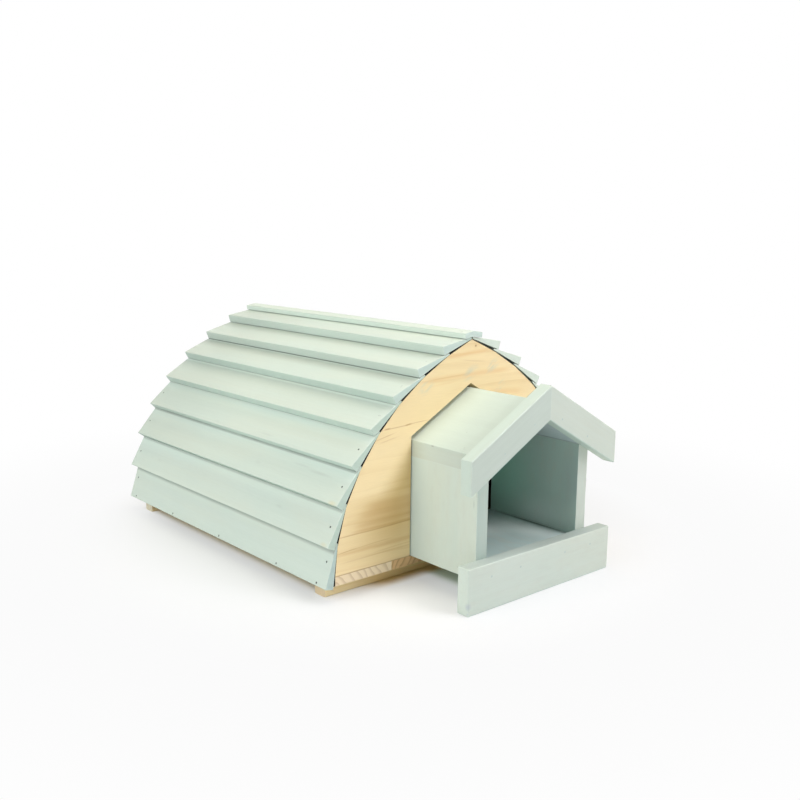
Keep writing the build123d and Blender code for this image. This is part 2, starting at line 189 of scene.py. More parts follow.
class Look:
    """A material, with short calls that add nodes to it."""

    def __init__(self, name, seed=0):
        self.material = bpy.data.materials.new(name)
        self.material.use_nodes = True
        self.nodes = self.material.node_tree.nodes
        self.links = self.material.node_tree.links
        self.shader = self.nodes["Principled BSDF"]
        self.random = random.Random(seed)
        coordinates = self.nodes.new("ShaderNodeTexCoord")
        self.place = coordinates.outputs["Object"]
        self.facing = coordinates.outputs["Normal"]

    def feed(self, socket, value):
        """Wire a socket to another, or write a constant on it."""
        if isinstance(value, bpy.types.NodeSocket):
            self.links.new(value, socket)
        else:
            socket.default_value = value

    def sum(self, operation, first, second=0.0):
        """One step of arithmetic on numbers."""
        node = self.nodes.new("ShaderNodeMath")
        node.operation = operation
        self.feed(node.inputs[0], first)
        self.feed(node.inputs[1], second)
        return node.outputs[0]

    def axes(self):
        """The coordinates of the place, by the names X, Y and Z."""
        node = self.nodes.new("ShaderNodeSeparateXYZ")
        self.feed(node.inputs[0], self.place)
        return node.outputs

    def product(self, *factors):
        """Several numbers multiplied."""
        result = factors[0]
        for factor in factors[1:]:
            result = self.sum("MULTIPLY", result, factor)
        return result

    def vector(self, operation, first, second):
        """One step of arithmetic on vectors, or of a vector and a number where it scales."""
        node = self.nodes.new("ShaderNodeVectorMath")
        node.operation = operation
        self.feed(node.inputs[0], first)
        self.feed(node.inputs[3] if operation == "SCALE" else node.inputs[1], second)
        return node.outputs[1] if operation == "DOT_PRODUCT" else node.outputs[0]

    def length(self, vector):
        node = self.nodes.new("ShaderNodeVectorMath")
        node.operation = "LENGTH"
        self.feed(node.inputs[0], vector)
        return node.outputs[1]

    def rise(self, value, low, high, bottom=0.0, top=1.0):
        """A smooth step from bottom to top as the value goes from low to high."""
        node = self.nodes.new("ShaderNodeMapRange")
        node.interpolation_type = "SMOOTHSTEP"
        for socket, number in zip(node.inputs, (value, low, high, bottom, top)):
            self.feed(socket, number)
        return node.outputs[0]

    def mix(self, share, first, second):
        """The first colour, turning into the second as the share goes from 0 to 1."""
        node = self.nodes.new("ShaderNodeMix")
        node.data_type = "RGBA"
        self.feed(node.inputs[0], share)
        self.feed(node.inputs[6], first)
        self.feed(node.inputs[7], second)
        return node.outputs[2]

    def part_along(self, vector, direction, share):
        """The part of a vector that lies along a direction, times a share."""
        travel = self.vector("DOT_PRODUCT", vector, direction)
        return self.vector("SCALE", direction, self.sum("MULTIPLY", travel, share))

    def stretched(self, direction, along, across):
        """Coordinates for a pattern whose grains are this long and this wide, in metres."""
        spread = self.vector("SCALE", self.place, 1 / across)
        extra = self.part_along(self.place, direction, 1 / along - 1 / across)
        start = [self.random.uniform(-PATTERN_START, PATTERN_START) for _ in range(3)]
        return self.vector("ADD", self.vector("ADD", spread, extra), start)

    def noise(self, coordinates, detail=2.0, distortion=0.0):
        """Soft noise, of unit size in the given coordinates."""
        node = self.nodes.new("ShaderNodeTexNoise")
        self.feed(node.inputs["Vector"], coordinates)
        node.inputs["Scale"].default_value = 1
        node.inputs["Detail"].default_value = detail
        node.inputs["Distortion"].default_value = distortion
        return node.outputs[0]

    def spot(self, centre, radius, direction=ALONG_X, stretch=1.0):
        """1 at a place and 0 past a radius from it, drawn out by the stretch in one direction."""
        offset = self.vector("SUBTRACT", self.place, centre)
        squeeze = self.part_along(offset, direction, 1 / stretch - 1)
        return self.rise(self.length(self.vector("ADD", offset, squeeze)), radius, 0.0)

    def arris(self, radius):
        """1 on sharp edges and 0 on flat faces, within a radius."""
        bevel = self.nodes.new("ShaderNodeBevel")
        bevel.samples = ARRIS_SAMPLES
        bevel.inputs["Radius"].default_value = radius
        normal = self.nodes.new("ShaderNodeNewGeometry").outputs["Normal"]
        return self.rise(self.vector("DOT_PRODUCT", bevel.outputs[0], normal), *ARRIS_BEND)

    def looks(self, direction):
        """1 on the faces that look in a direction, 0 on those that look elsewhere."""
        return self.rise(self.vector("DOT_PRODUCT", self.facing, direction), *LOOKING)

    def ends(self, direction):
        """1 on the faces that look along a direction, either way."""
        level = self.vector("DOT_PRODUCT", self.facing, direction)
        return self.rise(self.sum("ABSOLUTE", level), *LOOKING)

    def upwardness(self):
        """How far each face looks up, from -1 for undersides to 1 for level tops."""
        return self.vector("DOT_PRODUCT", self.facing, ALONG_Z)

    def bump(self, height, depth):
        """Tilt the surface by a height from 0 to 1 that stands for a depth in metres."""
        node = self.nodes.new("ShaderNodeBump")
        node.inputs["Strength"].default_value = 1
        node.inputs["Distance"].default_value = depth
        self.feed(node.inputs["Height"], height)
        if self.shader.inputs["Normal"].is_linked:
            self.feed(node.inputs["Normal"], self.shader.inputs["Normal"].links[0].from_socket)
        self.feed(self.shader.inputs["Normal"], node.outputs[0])

    def finish(self, colour, roughness):
        self.feed(self.shader.inputs["Base Color"], colour)
        self.feed(self.shader.inputs["Roughness"], roughness)
        return self.material


class FaceMark(NamedTuple):
    """A mark on a face, with its place and radius in millimetres: real stains, chips and wear, and
    painted light and painted shade.
    """

    node: str
    place: tuple
    radius: float
    # How many times longer it is along the brushing
    stretch: float
    strength: float
    colour: tuple = SAGE_STAIN
    # The direction in which the marked face looks, where the board's other faces stay clear
    facing: Vector = None


FACE_MARKS = (
    FaceMark("board_left_6", (-174, -80, 128.4), 2.4, 12, 0.16),
    FaceMark("board_left_6", (-175.6, -115, 126.5), 2.8, 11, 0.25),
    FaceMark("board_left_3", (-100.2, -160.8, 219.4), 1.4, 1, 0.55),
    FaceMark("board_left_4", (-130, -162.3, 191.9), 1.4, 1, 0.55),
    FaceMark("board_left_6", (-193, -160, 105.9), 5, 2, 0.6, SAGE_WORN),
    FaceMark("board_left_7", (-204.6, -161, 64), 4, 2, 0.5, SAGE_WORN),
    FaceMark("board_left_6", (-182.6, -4, 118.2), 3, 3, 0.14),
    FaceMark("board_left_5", (-168.8, -1, 149.1), 2.5, 9, 0.16),
    FaceMark("board_left_5", (-173.6, -47, 145.1), 2, 7, 0.12),
    FaceMark("board_left_5", (-171, 107, 147.3), 3, 4, 0.1),
    FaceMark("board_left_7", (-194.5, -65, 81.5), 3, 3, 0.16),
    FaceMark("board_left_7", (-195.8, 216, 79.6), 3, 3, 0.1),
    # Painted shade: a dark streak on the tunnel wall under the bargeboard's lower end
    FaceMark("tunnel_wall_left", (-89, -264.4, 110), 1.2, 6, 0.5),
    # Marks of brads under the paint of the tunnel's roof
    FaceMark("tunnel_roof_left", (-89, -200.6, 159.8), 1.1, 3, 0.9),
    FaceMark("tunnel_roof_left", (-62.3, -225, 175.6), 1.2, 1, 0.45),
    # Painted light beside the gable, deep in the tunnel and on its floor; painted shade in its
    # mouth and along its joints
    FaceMark("tunnel_wall_left", (-89, -170, 95), 36, 8, 0.9, SAGE_LIGHT_BY_GABLE, -ALONG_X),
    FaceMark("tunnel_wall_right", (59, -264, 105), 31, 2, 0.7, SAGE_INSIDE_FRONT_SHADE, -ALONG_X),
    FaceMark("tunnel_wall_right", (64, -272, 60), 20, 1, 0.35, SAGE_INSIDE_FRONT_SHADE, -ALONG_X),
    FaceMark("tunnel_wall_right", (73, -140, 100), 90, 1, 0.9, SAGE_INSIDE_DEEP_LIGHT, -ALONG_X),
    FaceMark("tunnel_wall_right", (73, -215, 56), 70, 0.45, 0.4, SAGE_INSIDE_LIGHT, -ALONG_X),
    FaceMark("tunnel_roof_right", (73, -225, 151.6), 5, 12, 0.5, SAGE_JOINT_SHADE, UNDER_RIGHT_ROOF),
    FaceMark("tunnel_floor", (52, -205, 45), 36, 2.4, 0.95, SAGE_INSIDE_LIGHT, ALONG_Z),
    FaceMark("tunnel_floor", (10, -182, 45), 38, 1.2, 0.7, SAGE_INSIDE_LIGHT, ALONG_Z),
    FaceMark("tunnel_floor", (73, -205, 45), 8, 12, 0.85, SAGE_JOINT_SHADE, ALONG_Z),
    # Painted light on the threshold's top
    FaceMark("threshold_board", (-50, -277, 51), 75, 1, 0.45, SAGE_WORN_HIGHLIGHT),
    # Chips at the threshold's corner
    FaceMark("threshold_board", (-117, -285, 11), 6, 1.5, 0.45, SAGE_CHIP),
    FaceMark("threshold_board", (-117, -285, 3), 3, 1.5, 0.5, SAGE_CHIP),
)

# Streaks on the front gable's face: their ends as X and Z, and half their height, in millimetres
Streak = namedtuple("Streak", "left right half strength colour")
GABLE_STREAKS = (
    Streak((-168, 72), (-84, 71.5), 3, 0.4, PINE_TAN),
    Streak((-165, 78), (-84, 79), 7, 0.35, PINE_TAN),
    Streak((-160, 87), (-84, 88), 8, 0.38, PINE_TAN),
    Streak((-150, 95), (-84, 96), 8, 0.33, PINE_TAN),
    Streak((-190, 69.5), (-84, 70.5), 1.2, 0.45, PINE_STREAK),
    Streak((-192, 50.5), (-84, 50.5), 3.5, 0.35, PINE_TAN),
    Streak((-192, 52.3), (-168, 53.5), 0.8, 0.5, PINE_STREAK),
    Streak((-168, 54), (-120, 55), 0.8, 0.25, PINE_STREAK),
    Streak((-135, 44.5), (-84, 45), 1.2, 0.2, PINE_STREAK),
    Streak((-185, 41), (-84, 41.5), 1.2, 0.2, PINE_STREAK),
    Streak((-128, 177), (-94, 178.7), 0.9, 0.55, PINE_STREAK),
    Streak((-96, 178.8), (-66, 179.8), 0.8, 0.45, PINE_STREAK),
    Streak((-128, 177.2), (-121, 177.5), 1.4, 0.6, PINE_STREAK),
    Streak((-99, 178.3), (-91, 179), 1.3, 0.7, PINE_STREAK),
    Streak((-140, 167), (-116, 171.5), 1, 0.4, PINE_STREAK),
    Streak((-134, 163.5), (-112, 166.5), 1.2, 0.25, PINE_STREAK),
    Streak((-68, 224), (60, 226), 5, 0.45, PINE_ORANGE),
    Streak((-66, 223.5), (-8, 226), 1, 0.2, PINE_STREAK),
    Streak((-58, 217), (-26, 219.5), 1.6, 0.2, PINE_ORANGE),
    Streak((-14, 243), (22, 238.5), 1.5, 0.2, PINE_STREAK),
    Streak((-40, 248), (30, 251), 4.5, 0.5, PINE_ORANGE),
    Streak((25, 202), (85, 198), 6, 0.4, PINE_ORANGE),
    # The dark joint between the gable and the floor's ends
    Streak((-215, 28), (-76, 28), 1.6, 0.65, PINE_KNOT),
)
# How far the streaks wander up and down, and how long and wide that pattern's grains are, in
# metres
STREAK_WANDER = 0.0005
STREAK_WANDER_SIZE = (0.05, 0.05)
WANDER_SPAN = (0.2, 0.8)
# Their ends fade over this share of their length to each side, and at most over this, in metres
STREAK_FADE_SHARE = 1 / 3
STREAK_FADE = 0.012
# The pin knot, as X and Z in millimetres, and its halo, which is this many times as wide
GABLE_KNOT = (6.5, 257.5)
GABLE_KNOT_RADIUS = 1.9
GABLE_KNOT_STRENGTH = 0.8
GABLE_HALO_TIMES = 3
GABLE_HALO_STRENGTH = 0.4
# Painted shade: the timber is browner and darker beside the tunnel, standing for the tunnel's
# shadow and its warm bounce. Below a level this shade fades out with the distance from the
# middle, a little against the tunnel itself, and towards the floor, and above the level along a
# line that leans to the tunnel. Heights and distances are in metres, and four numbers are a
# rise: the values between which it happens, and the results that it goes between.
GABLE_SHADE_TINT = (0.77, 0.69, 0.52)
GABLE_SHADE_LEVEL = (0.098, 0.112)
GABLE_SHADE_REACH = (0.205, 0.105)
GABLE_SHADE_NEAR = (0.085, 0.115, 0.72, 1.0)
GABLE_SHADE_FOOT = (0.030, 0.078, 0.35, 1.0)
GABLE_SHADE_LEAN = 0.75
GABLE_SHADE_UPPER_REACH = (0.140, 0.100)
GABLE_SHADE_TOP = (0.165, 0.145)
# Smears of paint that the brush left on the bare gable, as X and Z in millimetres
GABLE_SMEARS = ((-1, 227), (-70, 217), (34, 232), (45, 206))
# Their radius in metres, how many times longer they are along the roof's slope, how strong
# they are, and how long and wide the grains of their pattern are, in metres
GABLE_SMEAR_RADIUS = 0.01
GABLE_SMEAR_STRETCH = 1.8
GABLE_SMEAR_STRENGTH = 0.45
SMEAR_BLOTCH_SIZE = (0.014, 0.004)


class Coat(NamedTuple):
    """A coat of sage paint, brushed along one direction."""

    stroke: Vector
    # Tones of the faces that look in given directions, of the underside and of the sawn ends;
    # most of them are painted light and painted shade
    faces: tuple = ()
    under: tuple = SAGE_UNDERSIDE_SHADE
    end: tuple = SAGE_UPPER_END
    # How light the coat is, which is painted light where the rows and caps differ, and how strong
    # its brush marks, mottling and worn arrises with their painted highlight are
    shade: float = 1
    brush: float = 1
    mottle: float = 0
    worn_highlight: float = 1
    # The painted shadow line on the lower edge, where it meets the next board down: how dark it
    # is, a point on that board's outer face with the way the face looks, and the line's width in mm
    lap_shadow_strength: float = 0
    lap: tuple = None
    lap_shadow_width: float = 1.2
    # A point on the line from which painted shade and painted light spread over the face, and
    # their reaches in mm and their changes
    shade_from: Vector = None
    shades: tuple = ()
    # Painted shade along the house: the values of Y in metres between which each grows, and the
    # change
    shade_falloffs: tuple = ()


# The paint's patterns: how long and how wide their grains are, in metres
PAINT_CLOUD_SIZE = (0.14, 0.035)
BRUSH_STREAK_SIZE = (0.11, 0.0022)
BRUSH_GRAIN_SIZE = (0.3, 0.006)
BRISTLE_SIZE = (0.012, 0.0008)
MOTTLE_SIZE = (0.02, 0.008)
LAP_PATCH_SIZE = (0.05, 0.05)
# How much a brush mark changes the brightness, and how far the marks stand up, in metres
BRUSH_CONTRAST = 0.01
BRUSH_GRAIN_DEPTH = 0.00004
BRUSH_STREAK_DEPTH = 0.00002
# Rises, as two values of a pattern and the results that they go between: how much plain sage
# the coat has by the streak, how worn and highlighted its arrises are by the grain, and how dark
# the painted lap shadow is
SAGE_BY_STREAK = (0.35, 0.75, 0.4, 0.8)
WORN_HIGHLIGHT_BY_GRAIN = (0.25, 0.6, 0.35, 0.9)
LAP_BY_PATCH = (0.35, 0.6, 0.5, 1.0)
MOTTLE_SPAN = (0.45, 0.7)
# How far from an arris the paint is worn and carries a painted highlight, in metres
WORN_HIGHLIGHT_RADIUS = 0.0012
# The shares of a painted shade's reach and of a painted lap shadow's width in which it is full
SHADE_CORE_SHARE = 0.3
LAP_CORE_SHARE = 1 / 3
PAINT_ROUGHNESS = (0.48, 0.63)


def face_tones(look, coat, cloud, streak, downward, sawn):
    """The tones of a coat's faces, before its brush marks and shades, with painted light and
    painted shade on its undersides, ends and chosen faces.
    """
    colour = look.mix(cloud, SAGE_WARM, SAGE_COOL)
    colour = look.mix(look.rise(streak, *SAGE_BY_STREAK), colour, SAGE)
    colour = look.mix(downward, colour, coat.under)
    colour = look.mix(sawn, colour, coat.end)
    for direction, face_tone in coat.faces:
        colour = look.mix(look.looks(direction), colour, face_tone)
    if coat.mottle:
        blotch = look.noise(look.stretched(coat.stroke, *MOTTLE_SIZE), 3)
        blotch = look.rise(blotch, *MOTTLE_SPAN)
        colour = look.mix(look.product(blotch, coat.mottle), colour, SAGE_MOTTLE)
    return colour


def lap_shades(look, coat, sawn):
    """The factors by which painted shade and painted light from the lap above change the face's
    brightness.
    """
    offset = look.vector("SUBTRACT", look.place, coat.shade_from)
    away = look.length(look.vector("ADD", offset, look.part_along(offset, ALONG_Y, -1)))
    upper = look.rise(look.upwardness(), *UPPER_LOOK)
    upper = look.product(upper, look.sum("SUBTRACT", 1, sawn))
    factors = []
    for reach, change in coat.shades:
        near = look.rise(away, reach * MM, reach * MM * SHADE_CORE_SHARE)
        factors.append(look.sum("ADD", look.product(near, upper, change), 1))
    return factors


def house_shade_falloffs(look, coat):
    """The factors of painted shade by which the brightness changes along the house."""
    factors = []
    for start, end, change in coat.shade_falloffs:
        factors.append(look.rise(look.axes()["Y"], start, end, 1, 1 + change))
    return factors


def with_face_marks(look, coat, node, colour):
    """The colour with the node's stains on it."""
    for face_mark in FACE_MARKS:
        if face_mark.node != node:
            continue
        centre = Vector(face_mark.place) * MM
        share = look.spot(centre, face_mark.radius * MM, coat.stroke, face_mark.stretch)
        if face_mark.facing is not None:
            share = look.product(share, look.looks(face_mark.facing))
        colour = look.mix(look.product(share, face_mark.strength), colour, face_mark.colour)
    return colour


def lap_shadow(look, coat, downward):
    """How dark the painted shadow is on the lower edge, close to the next board down."""
    point, facing = coat.lap
    gap = look.vector("DOT_PRODUCT", look.vector("SUBTRACT", look.place, point), facing)
    patch = look.noise(look.stretched(coat.stroke, *LAP_PATCH_SIZE), 2)
    patch = look.rise(patch, *LAP_BY_PATCH)
    near = look.rise(gap, coat.lap_shadow_width * MM, coat.lap_shadow_width * MM * LAP_CORE_SHARE)
    return look.product(near, downward, patch, coat.lap_shadow_strength)


def paint(name, seed, coat, node=""):
    """Sage paint brushed along the timber, with the node's marks, among them painted light and
    painted shade.
    """
    look = Look(name, seed)
    cloud = look.noise(look.stretched(coat.stroke, *PAINT_CLOUD_SIZE), 2)
    cloud = look.rise(cloud, *NOISE_MIDDLE)
    streak = look.noise(look.stretched(coat.stroke, *BRUSH_STREAK_SIZE), 3)
    grain = look.noise(look.stretched(coat.stroke, *BRUSH_GRAIN_SIZE), 2, 0.4)
    bristle = look.noise(look.stretched(coat.stroke, *BRISTLE_SIZE), 2)
    downward = look.rise(look.upwardness(), *UNDER_LOOK)
    sawn = look.ends(coat.stroke)
    colour = face_tones(look, coat, cloud, streak, downward, sawn)
    low, high = 1 - BRUSH_CONTRAST * coat.brush, 1 + BRUSH_CONTRAST * coat.brush
    marks = [look.rise(mark, *NOISE_SPAN, low, high) for mark in (grain, streak, bristle)]
    # Painted shade and painted light from the lap above, and painted shade along the house
    shades = lap_shades(look, coat, sawn) if coat.shades else []
    brightness = look.product(*marks, coat.shade, *shades, *house_shade_falloffs(look, coat))
    colour = with_face_marks(look, coat, node, look.vector("SCALE", colour, brightness))
    # Lighter arrises: partly worn paint, partly a painted highlight
    if coat.worn_highlight:
        worn_highlight = look.rise(grain, *WORN_HIGHLIGHT_BY_GRAIN)
        worn_highlight = look.product(look.arris(WORN_HIGHLIGHT_RADIUS), worn_highlight, coat.worn_highlight)
        colour = look.mix(worn_highlight, colour, SAGE_WORN_HIGHLIGHT)
    # Painted shadow on the lower edge, in the lap
    if coat.lap:
        colour = look.mix(lap_shadow(look, coat, downward), colour, LAP_SHADOW)
    look.bump(grain, BRUSH_GRAIN_DEPTH)
    look.bump(streak, BRUSH_STREAK_DEPTH)
    return look.finish(colour, look.rise(streak, *NOISE_SPAN, *PAINT_ROUGHNESS))


# The pine's patterns: how long and how wide their grains are, in metres, and the values
# between which the rings come out
RING_SWAY_SIZE = (0.25, 0.03)
RING_FADE_SIZE = (0.2, 0.02)
RING_FADE_SPAN = (0.35, 0.7)
FIBRE_SIZE = (0.02, 0.0006)
PINE_CLOUD_SIZE = (0.15, 0.03)
# How far the rings sway, and how far rings and fibres stand up, in metres
RING_SWAY = 0.02
RING_DEPTH = 0.00005
FIBRE_DEPTH = 0.00003
# The width of a growth ring in metres, and the shares of it over which its dark part grows
# and then ends
BOARD_RING = 0.008
BATTEN_RING = 0.0035
LATE_GROWTH = (0.45, 0.93)
LATE_END = (1.0, 0.94)
# How strong the rings are on the faces and on the sawn ends, and the clouds against the rings
PINE_CONTRAST = 0.7
GABLE_CONTRAST = 0.35
SAWN_CONTRAST = 0.7
CLOUD_SHARE = 0.5
FIBRE_BRIGHTNESS = (0.975, 1.015)
PINE_ROUGHNESS = 0.6
# Painted shade: the front batten is darker and warmer towards the tunnel, which shades it,
# between these distances from the middle
BATTEN_SHADE_TINT = (1.0, 0.9, 0.74)
BATTEN_SHADE_REACH = (0.170, 0.105)


def timber(look, grain, pith, ring, contrast, tones=PINE_TONES):
    """The colour of planed pine, cut from growth rings about a pith line along the grain."""
    offset = look.vector("SUBTRACT", look.place, pith)
    across = look.vector("ADD", offset, look.part_along(offset, grain, -1))
    sway = look.noise(look.stretched(grain, *RING_SWAY_SIZE), 2)
    radius = look.sum("ADD", look.length(across), look.sum("MULTIPLY", sway, RING_SWAY))
    turn = look.sum("FRACT", look.sum("DIVIDE", radius, ring))
    late = look.product(look.rise(turn, *LATE_GROWTH), look.rise(turn, *LATE_END))
    fade = look.noise(look.stretched(grain, *RING_FADE_SIZE), 1)
    fade = look.rise(fade, *RING_FADE_SPAN)
    fibre = look.noise(look.stretched(grain, *FIBRE_SIZE), 2)
    cloud = look.noise(look.stretched(grain, *PINE_CLOUD_SIZE), 2)
    cloud = look.rise(cloud, *NOISE_SPAN)
    face = look.mix(look.product(late, fade, contrast), tones.early, tones.late)
    face = look.mix(look.sum("MULTIPLY", cloud, contrast * CLOUD_SHARE), face, tones.late)
    cut = look.mix(look.sum("MULTIPLY", late, SAWN_CONTRAST), tones.end, tones.end_late)
    colour = look.mix(look.ends(grain), face, cut)
    look.bump(late, RING_DEPTH)
    look.bump(fibre, FIBRE_DEPTH)
    return look.vector("SCALE", colour, look.rise(fibre, *NOISE_SPAN, *FIBRE_BRIGHTNESS))


def pine(name, seed, grain, pith, ring, tones=PINE_TONES, shaded_side=None, shaded_middle=False):
    """Bare pine, with painted shade on the faces that look into the closed chamber where that side
    is given, and darker, warmer painted shade about the middle of the house where that is asked
    for."""
    look = Look(name, seed)
    colour = timber(look, grain, pith, ring, PINE_CONTRAST, tones)
    if shaded_side:
        colour = look.mix(look.looks(shaded_side), colour, PINE_CHAMBER_SHADE)
    if shaded_middle:
        middle = look.rise(look.sum("ABSOLUTE", look.axes()["X"]), *BATTEN_SHADE_REACH)
        colour = look.mix(middle, colour, look.vector("MULTIPLY", colour, BATTEN_SHADE_TINT))
    return look.finish(colour, PINE_ROUGHNESS)


def streak_share(look, mark):
    """How strong a streak is: full along its line, and 0 past its half height and its ends."""
    axes = look.axes()
    start, end = mark.left[0] * MM, mark.right[0] * MM
    slope = (mark.right[1] - mark.left[1]) / (mark.right[0] - mark.left[0])
    level = look.sum("MULTIPLY", look.sum("SUBTRACT", axes["X"], start), slope)
    level = look.sum("ADD", level, mark.left[1] * MM)
    wander = look.noise(look.stretched(ALONG_X, *STREAK_WANDER_SIZE), 1)
    wander = look.rise(wander, *WANDER_SPAN, -STREAK_WANDER, STREAK_WANDER)
    level = look.sum("ADD", level, wander)
    gap = look.sum("ABSOLUTE", look.sum("SUBTRACT", axes["Z"], level))
    fade = min((end - start) * STREAK_FADE_SHARE, STREAK_FADE)
    past_start = look.rise(axes["X"], start - fade, start + fade)
    before_end = look.rise(axes["X"], end + fade, end - fade)
    return look.product(look.rise(gap, mark.half * MM, 0.0), past_start, before_end, mark.strength)


def gable_shade(look):
    """1 where the painted shade beside the tunnel is full on the front gable, 0 where there is
    none.
    """
    axes = look.axes()
    side = look.sum("ABSOLUTE", axes["X"])
    upper = look.rise(axes["Z"], *GABLE_SHADE_LEVEL)
    lower = look.sum("SUBTRACT", 1, upper)
    near = look.rise(side, *GABLE_SHADE_NEAR)
    foot = look.rise(axes["Z"], *GABLE_SHADE_FOOT)
    beside = look.product(look.rise(side, *GABLE_SHADE_REACH), near, foot, lower)
    climb = look.sum("SUBTRACT", axes["Z"], GABLE_SHADE_LEVEL[1])
    leaning = look.sum("ADD", side, look.sum("MULTIPLY", climb, GABLE_SHADE_LEAN))
    above = look.rise(leaning, *GABLE_SHADE_UPPER_REACH)
    above = look.product(above, upper, look.rise(axes["Z"], *GABLE_SHADE_TOP))
    return look.sum("ADD", beside, above)


def gable_pine(seed, pith, ring, front):
    """The front gable's pine, with the streaks, pin knot and paint smears that its face shows, and
    the painted shade beside the tunnel.
    """
    look = Look("pine_front_gable", seed)
    colour = timber(look, ALONG_X, pith, ring, GABLE_CONTRAST)
    for mark in GABLE_STREAKS:
        colour = look.mix(streak_share(look, mark), colour, mark.colour)
    knot = Vector((GABLE_KNOT[0] * MM, front, GABLE_KNOT[1] * MM))
    halo = look.spot(knot, GABLE_HALO_TIMES * GABLE_KNOT_RADIUS * MM)
    colour = look.mix(look.product(halo, GABLE_HALO_STRENGTH), colour, PINE_LATE)
    heart = look.spot(knot, GABLE_KNOT_RADIUS * MM)
    colour = look.mix(look.product(heart, GABLE_KNOT_STRENGTH), colour, PINE_KNOT)
    for x, z in GABLE_SMEARS:
        centre = Vector((x * MM, front, z * MM))
        smear = look.spot(centre, GABLE_SMEAR_RADIUS, UP_TO_RIGHT, GABLE_SMEAR_STRETCH)
        blotch = look.noise(look.stretched(UP_TO_RIGHT, *SMEAR_BLOTCH_SIZE), 2)
        share = look.product(smear, look.rise(blotch, *NOISE_MIDDLE), GABLE_SMEAR_STRENGTH)
        colour = look.mix(share, colour, SAGE)
    # Painted shade: the tunnel's shadow and its warm bounce on the gable
    shaded_colour = look.vector("MULTIPLY", colour, GABLE_SHADE_TINT)
    colour = look.mix(gable_shade(look), colour, shaded_colour)
    return look.finish(colour, PINE_ROUGHNESS)


# The membrane's pebbles and the steel's specks, with their sizes and depth in metres
PEBBLE_SIZE = (0.0012, 0.0012)
PEBBLE_DEPTH = 0.0001
PEBBLE_BRIGHTNESS = (0.7, 1.3)
MEMBRANE_ROUGHNESS = 0.8
SPECK_SIZE = (0.0008, 0.0008)
SPECK_BRIGHTNESS = (0.7, 1.25)
STEEL_METALLIC = 0.6
STEEL_ROUGHNESS = (0.4, 0.65)


def membrane():
    """Matt black roofing sheet with a fine pebbled face."""
    look = Look("roofing_membrane", MEMBRANE_SEED)
    pebble = look.noise(look.stretched(ALONG_Y, *PEBBLE_SIZE), 2)
    brightness = look.rise(pebble, *NOISE_SPAN, *PEBBLE_BRIGHTNESS)
    colour = look.vector("SCALE", MEMBRANE_BLACK[:3], brightness)
    look.bump(pebble, PEBBLE_DEPTH)
    return look.finish(colour, MEMBRANE_ROUGHNESS)


def steel():
    """Dull darkened steel."""
    look = Look("dark_steel", STEEL_SEED)
    speck = look.noise(look.stretched(ALONG_Y, *SPECK_SIZE), 3)
    brightness = look.rise(speck, *NOISE_SPAN, *SPECK_BRIGHTNESS)
    colour = look.vector("SCALE", STEEL_GREY[:3], brightness)
    look.shader.inputs["Metallic"].default_value = STEEL_METALLIC
    return look.finish(colour, look.rise(speck, *NOISE_SPAN, *STEEL_ROUGHNESS))


def dress(node, material):
    """Give a node one material in place of its own."""
    NODES[node].data.materials.clear()
    NODES[node].data.materials.append(material)


# The least sideways part of the normal of a face that looks outwards
OUTWARD_LEAST = 0.05


def outer_plane(node, side):
    """A point on the outer face of a board, and the direction in which the face looks."""
    outward = -1 if side == "left" else 1
    faces = [face for face in NODES[node].data.polygons if face.normal.x * outward > OUTWARD_LEAST]
    face = max(faces, key=lambda face: face.area)
    return face.center.copy(), face.normal.copy()


def inner_arris(node):
    """A point on the arris where a board's lower edge meets the board under it."""
    places = (vertex.co for vertex in NODES[node].data.vertices)
    return min(places, key=lambda place: place.z).copy()


class Row(NamedTuple):
    """How a row of boards differs from the others, counted from the ridge."""

    # Tones of the lower edge and of the front end, and how light the row is: painted shade and
    # painted light that differ from row to row
    edge: tuple
    end: tuple
    shade: float
    # How dark the painted shadow line under its lap is, and how wide in mm
    lap_shadow_strength: float
    lap_shadow_width: float
    # Painted shade and painted light from the lap above, each with its reach in mm and its change
    shades: tuple
    # Painted shade: the change of brightness at the rear
    rear: float


BOARD_ROWS = {
    1: Row(SAGE_TOP_EDGE_SHADE, SAGE_UPPER_END, 1.05, 0.25, 1, ((5, -0.08),), -0.12),
    2: Row(SAGE_UPPER_EDGE_SHADE, SAGE_UPPER_END, 1.055, 0.3, 1, ((1.5, -0.2), (20, -0.14)), -0.1),
    3: Row(
        SAGE_MIDDLE_EDGE_SHADE, SAGE_UPPER_END, 1.05, 0.6, 1,
        ((1.6, -0.6), (5.5, 0.24), (20, -0.2)), -0.12,
    ),
    4: Row(
        SAGE_MIDDLE_EDGE_SHADE, SAGE_MIDDLE_END, 1.05, 0.5, 1.6,
        ((1.2, -0.2), (5, 0.26), (22, -0.06)), -0.12,
    ),
    5: Row(SAGE_MIDDLE_EDGE_SHADE, SAGE_MIDDLE_END, 1.05, 0.48, 5, ((3, -0.1), (18, 0.16)), -0.12),
    6: Row(SAGE_LOWER_EDGE_SHADE, SAGE_MIDDLE_END, 1.04, 0.48, 5, ((3, -0.35), (20, 0.15)), -0.08),
    7: Row(SAGE_LOWER_EDGE_SHADE, SAGE_MIDDLE_END, 1.04, 0.48, 5, ((4, -0.3), (18, 0.1)), 0),
    8: Row(SAGE_MIDDLE_EDGE_SHADE, SAGE_LOWER_END, 1.055, 0, 1, ((6, -0.33),), 0),
}
LAST_ROW = max(BOARD_ROWS)
# The values of Y, in metres, between which the boards get painted shade towards the rear, and
# the left roof board of the tunnel towards its front, with that roof board's changes
REAR_SHADE = (0.06, 0.26)
ROOF_SHADES = ((-0.165, -0.245, -0.085), (-0.234, -0.246, -0.04))


